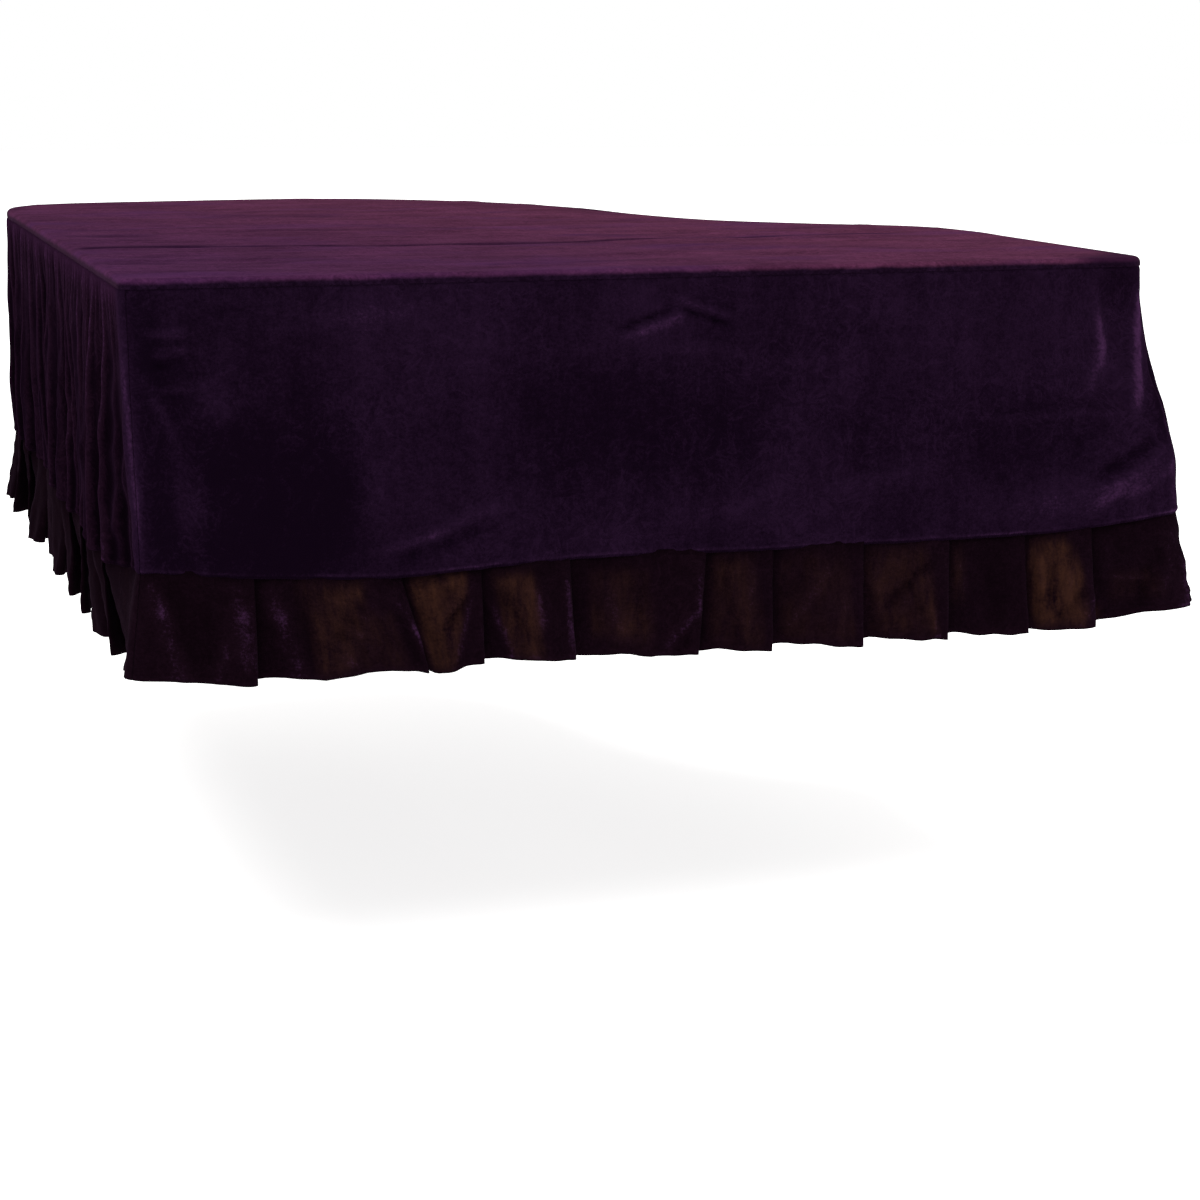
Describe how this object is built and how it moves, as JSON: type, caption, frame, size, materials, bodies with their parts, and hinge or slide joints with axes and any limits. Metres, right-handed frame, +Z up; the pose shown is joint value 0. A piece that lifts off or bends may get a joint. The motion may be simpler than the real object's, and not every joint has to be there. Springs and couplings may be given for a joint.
{
  "type": "piano cover",
  "caption": "Fitted velvet cover for a grand piano: wing-shaped flat top, gathered side drops and a pleated ruffle at the hem.",
  "frame": {"origin": "on the underside of the flat top, near its middle, where the cover rests on what it fits", "axes": "+Z up, +Y from the straight front edge back to the rounded tail, +X from the spine side on the left to the cheek on the right"},
  "size_m": [1.6583, 1.8016, 0.5507],
  "materials": {
    "top_velvet": "matte",
    "drop_velvet": "matte",
    "ruffle_velvet": "matte"
  },
  "bodies": {
    "root": {"top_panel": "top_velvet", "front_drop": "drop_velvet", "bent_drop": "drop_velvet", "tail_drop": "drop_velvet", "spine_drop": "drop_velvet", "front_ruffle": "ruffle_velvet", "bent_ruffle": "ruffle_velvet", "tail_ruffle": "ruffle_velvet", "spine_ruffle": "ruffle_velvet"}
  },
  "joints": []
}
